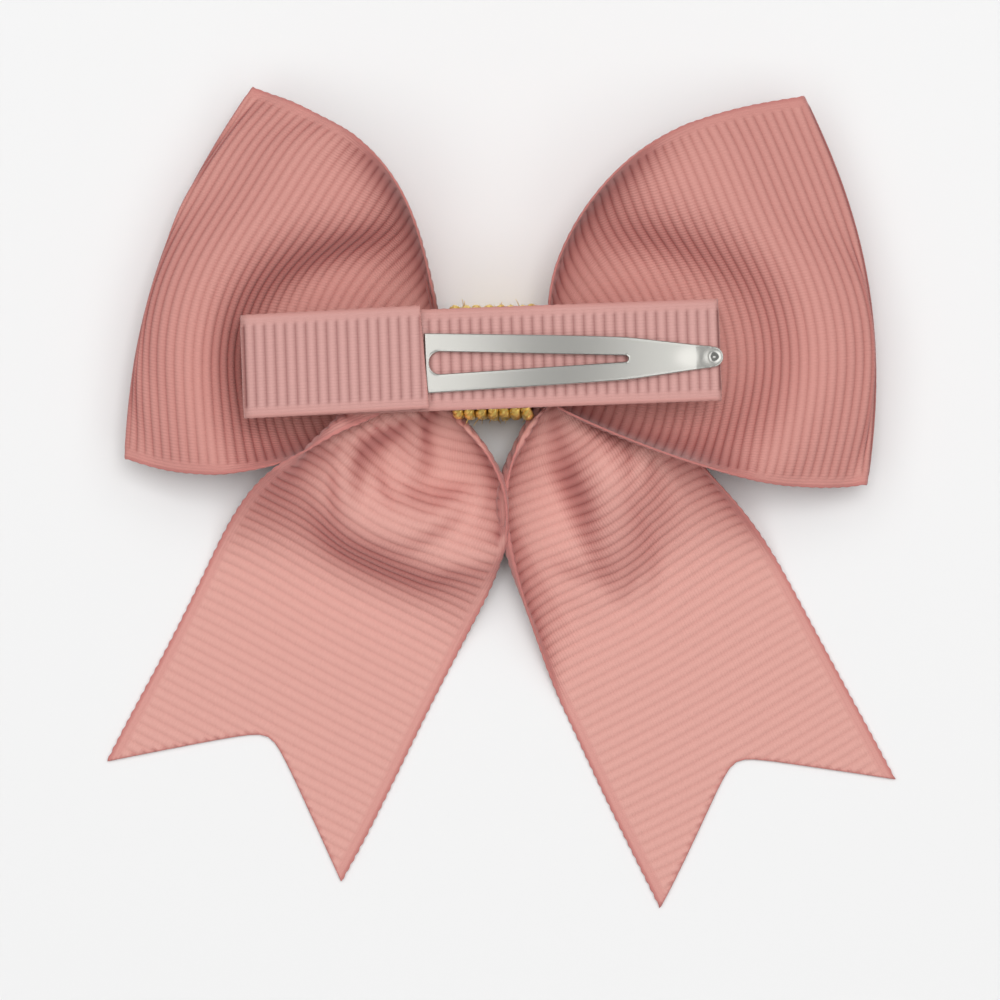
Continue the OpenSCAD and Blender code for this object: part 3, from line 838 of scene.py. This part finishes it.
def rivet_mesh():
    top = ROOT_Z + STEEL_T
    profile = np.array([(0.0, FRAME_Z), (0.7, FRAME_Z), (0.75, FRAME_Z + 0.05), (0.75, top), (1.04, top),
                        (1.1, top + 0.05), (1.08, top + 0.12), (0.95, top + 0.19), (0.6, top + 0.24),
                        (0.0, top + 0.25)])
    sides = 32
    parts = []
    for s in (-1, 1):
        q = np.linspace(0, 2 * np.pi, sides, endpoint=False)
        ring = profile[1:-1, None]
        v = np.stack([RIVET_U + ring[..., 0] * np.cos(q), s * RIVET_Y + ring[..., 0] * np.sin(q),
                      np.broadcast_to(ring[..., 1], (len(ring), sides))], axis=-1).reshape(-1, 3)
        n = len(profile) - 2
        faces = [[i * sides + k, i * sides + (k + 1) % sides, (i + 1) * sides + (k + 1) % sides, (i + 1) * sides + k]
                 for i in range(n - 1) for k in range(sides)]
        faces += [list(range(sides))[::-1], [(n - 1) * sides + k for k in range(sides)]]
        parts.append((on_clip(v), faces))
    return joined(parts)


def glue_blob(middle, size, low, thick, seed):
    """A pressed drop of hot glue with an uneven rounded rim."""
    r = np.random.default_rng(seed)
    phase = r.uniform(0, 2 * np.pi, 5)
    sides, rings = 72, 7
    q = np.linspace(0, 2 * np.pi, sides, endpoint=False)
    wob = 1 + sum(0.035 / (k + 1) * np.sin((k + 2) * q + phase[k]) for k in range(5))
    oval = (np.abs(np.cos(q)) ** 4 + np.abs(np.sin(q)) ** 4) ** -0.25 * wob
    h = np.linspace(0, np.pi, rings)
    inset = thick / 2 * (1 - np.sin(h))
    v = [np.stack([middle[0] + (size[0] / 2 - i) * oval * np.cos(q),
                   middle[1] + (size[1] / 2 - i) * oval * np.sin(q),
                   np.full(sides, low + thick / 2 * (1 - math.cos(a)))], axis=-1) for a, i in zip(h, inset)]
    v = on_clip(np.concatenate(v))
    faces = [[i * sides + k, i * sides + (k + 1) % sides, (i + 1) * sides + (k + 1) % sides, (i + 1) * sides + k]
             for i in range(rings - 1) for k in range(sides)]
    faces += [list(range(sides))[::-1], [(rings - 1) * sides + k for k in range(sides)]]
    return v, faces


# ---------------------------------------------------------------- materials

def new_material(name, color, roughness=0.5, metallic=0.0):
    m = bpy.data.materials.new(name)
    m.use_nodes = True
    b = m.node_tree.nodes["Principled BSDF"]
    b.inputs["Base Color"].default_value = (*color, 1)
    b.inputs["Roughness"].default_value = roughness
    b.inputs["Metallic"].default_value = metallic
    return m, m.node_tree, b


def link(tree, a, b):
    tree.links.new(a, b)


def grosgrain(name, color, selvedge_and_shade_color, groove_shade_color):
    """Ribbon weave: fine warp lines across the modelled ribs, denser and a little deeper in colour at its edges, with
    painted shade between the ribs and on slopes taken from the mesh attributes.
    """
    m, tree, b = new_material(name, color, 0.78)
    b.inputs["Sheen Weight"].default_value = 0.25
    b.inputs["Sheen Roughness"].default_value = 0.45
    b.inputs["Specular IOR Level"].default_value = 0.3
    nodes = tree.nodes
    edge = nodes.new("ShaderNodeAttribute")
    edge.attribute_name = "edge"
    coord = nodes.new("ShaderNodeTexCoord")
    noise = nodes.new("ShaderNodeTexNoise")
    noise.inputs["Scale"].default_value = 900
    noise.inputs["Detail"].default_value = 4
    link(tree, coord.outputs["UV"], noise.inputs["Vector"])
    # selvedge colour and painted shade on slopes, mixed in by the attribute edge
    dark = nodes.new("ShaderNodeMix")
    dark.data_type = "RGBA"
    dark.inputs["A"].default_value = (*color, 1)
    dark.inputs["B"].default_value = (*selvedge_and_shade_color, 1)
    link(tree, edge.outputs["Fac"], dark.inputs["Factor"])
    speck = nodes.new("ShaderNodeMix")
    speck.data_type = "RGBA"
    speck.blend_type = "MULTIPLY"
    speck.inputs["B"].default_value = (0.86, 0.8, 0.8, 1)
    link(tree, noise.outputs["Fac"], speck.inputs["Factor"])
    # painted shade between the ribs, multiplied in from the mesh attribute
    rib = nodes.new("ShaderNodeAttribute")
    rib.attribute_name = "painted_groove_shade"
    painted_groove_shade = nodes.new("ShaderNodeMix")
    painted_groove_shade.data_type = "RGBA"
    painted_groove_shade.blend_type = "MULTIPLY"
    painted_groove_shade.inputs["B"].default_value = (*groove_shade_color, 1)
    link(tree, rib.outputs["Fac"], painted_groove_shade.inputs["Factor"])
    link(tree, dark.outputs["Result"], painted_groove_shade.inputs["A"])
    link(tree, painted_groove_shade.outputs["Result"], speck.inputs["A"])
    link(tree, speck.outputs["Result"], b.inputs["Base Color"])
    warp = nodes.new("ShaderNodeTexWave")
    warp.bands_direction = "Y"
    warp.inputs["Scale"].default_value = 0.314 / 0.0030
    warp.inputs["Distortion"].default_value = 0.8
    warp.inputs["Detail"].default_value = 1
    link(tree, coord.outputs["UV"], warp.inputs["Vector"])
    bump = nodes.new("ShaderNodeBump")
    bump.inputs["Strength"].default_value = 0.5
    bump.inputs["Distance"].default_value = 0.00006
    link(tree, warp.outputs["Fac"], bump.inputs["Height"])
    link(tree, bump.outputs["Normal"], b.inputs["Normal"])
    return m


def gold():
    m, tree, b = new_material("metallic_cord", (1.0, 0.72, 0.2), 0.28, 0.75)
    nodes = tree.nodes
    coord = nodes.new("ShaderNodeTexCoord")
    cells = nodes.new("ShaderNodeTexVoronoi")
    cells.inputs["Scale"].default_value = 4500
    link(tree, coord.outputs["Object"], cells.inputs["Vector"])
    bump = nodes.new("ShaderNodeBump")
    bump.inputs["Strength"].default_value = 0.7
    bump.inputs["Distance"].default_value = 0.00008
    link(tree, cells.outputs["Distance"], bump.inputs["Height"])
    link(tree, bump.outputs["Normal"], b.inputs["Normal"])
    return m


def steel(name, color, roughness):
    """Rolled steel with faint lines along it."""
    m, tree, b = new_material(name, color, roughness, 1.0)
    nodes = tree.nodes
    coord = nodes.new("ShaderNodeTexCoord")
    stretch = nodes.new("ShaderNodeMapping")
    stretch.inputs["Scale"].default_value = (60, 2500, 60)
    link(tree, coord.outputs["Object"], stretch.inputs["Vector"])
    noise = nodes.new("ShaderNodeTexNoise")
    noise.inputs["Scale"].default_value = 1.0
    noise.inputs["Detail"].default_value = 3
    link(tree, stretch.outputs["Vector"], noise.inputs["Vector"])
    bump = nodes.new("ShaderNodeBump")
    bump.inputs["Strength"].default_value = 0.25
    bump.inputs["Distance"].default_value = 0.00001
    link(tree, noise.outputs["Fac"], bump.inputs["Height"])
    link(tree, bump.outputs["Normal"], b.inputs["Normal"])
    return m


def hot_melt():
    m, _, b = new_material("hot_melt", (0.86, 0.82, 0.72), 0.35)
    b.inputs["Subsurface Weight"].default_value = 0.3
    b.inputs["Subsurface Radius"].default_value = (0.002, 0.002, 0.0015)
    return m


def piece(name, data, node, material, body="bow"):
    obj = data if isinstance(data, bpy.types.Object) else mesh_object(name, *data)
    obj.data.materials.append(material)
    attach(obj, body)
    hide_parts(node)
    return obj


# ---------------------------------------------------------------- build

rng = np.random.default_rng(11)
rose = grosgrain("loop_grosgrain", (0.66, 0.32, 0.28), (0.53, 0.20, 0.18), (0.56, 0.36, 0.35))
tail_rose = grosgrain("tail_grosgrain", (0.75, 0.40, 0.35), (0.56, 0.21, 0.19), (0.6, 0.42, 0.4))
lining_rose = grosgrain("lining_grosgrain", (0.66, 0.38, 0.35), (0.58, 0.28, 0.25), (0.40, 0.25, 0.25))
spring = steel("spring_steel", (0.68, 0.67, 0.63), 0.24)
dull = steel("rivet_steel", (0.62, 0.62, 0.61), 0.35)
glue = hot_melt()


def notch_cuts(v):
    cut = NOTCH * (1.0 - np.sqrt((v / (TAIL_W / 2)) ** 2 + 0.01)) + 0.06
    return np.maximum(cut, 0), np.maximum(cut, 0)


def sleeve_cut(v):
    return 0.6 + v * math.tan(math.radians(3.1)), np.zeros_like(v)


loop_grids = {side: relaxed_loop(side) for side in (-1, 1)}
tail_grids = {side: relaxed_tail(side, loop_grids[side]) for side in (-1, 1)}
loop_strip, tail_strip, lining_strip = loop_sheet(loop_grids), tail_sheet(tail_grids), lining_sheet()
loops = piece("loop_strip", ribbon_mesh("loop_strip", loop_strip, LOOP_RIB), "loop_ribbon", rose)
tail_mesh = ribbon_mesh("tail_strip", tail_strip, TAIL_RIB, 0.8, cuts=notch_cuts, flat_groove_shade=0.22, picot_size=0.1)
tails = piece("tail_strip", tail_mesh, "tail_ribbon", tail_rose)
lining_mesh = ribbon_mesh("lining_strip", lining_strip, LINING_RIB, 0.7, selvedge=0.95, cuts=sleeve_cut,
                          flat_groove_shade=0.65)
lining = piece("lining_strip", lining_mesh, "clip_lining", lining_rose)
cord = piece("gold_cord", gold_wrap(), "centre_wrap", gold())
piece("sewing_thread", thread(), "gathering_thread", new_material("thread", (0.6, 0.35, 0.32), 0.7)[0])
piece("steel_tongue", tongue_mesh(), "clip_tongue", spring, "tongue")
piece("tongue_base", root_mesh(), "tongue_root", spring)
piece("lever_frame", frame_mesh(), "clip_frame", spring)
piece("rivets", rivet_mesh(), "clip_rivets", dull)
piece("glue_under_clip", glue_blob((24.2, 0.2), (8.4, 8.0), 10.1, 0.3, 3), "clip_glue_pad", glue)
piece("glue_in_sleeve", glue_blob((10.3, 0.0), (4.4, 6.4), 11.96, 0.44, 4), "sleeve_glue", glue)


# ---------------------------------------------------------------- stage, light, camera

def stage():
    mesh = bpy.data.meshes.new("floor")
    s = 1.5
    mesh.from_pydata([(-s, -s, 0), (s, -s, 0), (s, s, 0), (-s, s, 0)], [], [(0, 1, 2, 3)])
    floor = bpy.data.objects.new("floor", mesh)
    bpy.context.scene.collection.objects.link(floor)
    mesh.materials.append(new_material("floor", (0.82, 0.82, 0.82), 0.9)[0])


def area_light(name, place, aim, size, power):
    light = bpy.data.lights.new(name, "AREA")
    light.shape = "RECTANGLE"
    light.size, light.size_y = size
    light.energy = power
    obj = bpy.data.objects.new(name, light)
    obj.location = place
    obj.rotation_euler = (Vector(aim) - Vector(place)).to_track_quat("-Z", "Y").to_euler()
    bpy.context.scene.collection.objects.link(obj)
    return obj


def lights():
    world = bpy.data.worlds.new("studio")
    world.use_nodes = True
    world.node_tree.nodes["Background"].inputs[0].default_value = (1, 1, 1, 1)
    world.node_tree.nodes["Background"].inputs[1].default_value = 0.22
    bpy.context.scene.world = world
    area_light("left_box", (-0.4, 0.12, 0.8), (-0.4, 0.12, 0), (0.64, 1.4), 3.5)
    area_light("right_box", (0.43, 0.12, 0.8), (0.43, 0.12, 0), (0.64, 1.4), 3.1)
    top = area_light("top_box", (0.05, 0.15, 0.9), (0, 0, 0), (0.4, 0.4), 3.8)
    top.visible_glossy = False                       # so that the steel mirrors only the two long boxes


def camera():
    cam = bpy.data.cameras.new("camera")
    cam.lens = 200
    cam.sensor_width = 36
    frame_width = 0.098
    obj = bpy.data.objects.new("camera", cam)
    obj.location = (0, 0, frame_width * cam.lens / cam.sensor_width)
    cam.clip_end = 10
    bpy.context.scene.collection.objects.link(obj)
    bpy.context.scene.camera = obj


stage()
lights()
camera()
bpy.context.scene.view_settings.view_transform = "Standard"
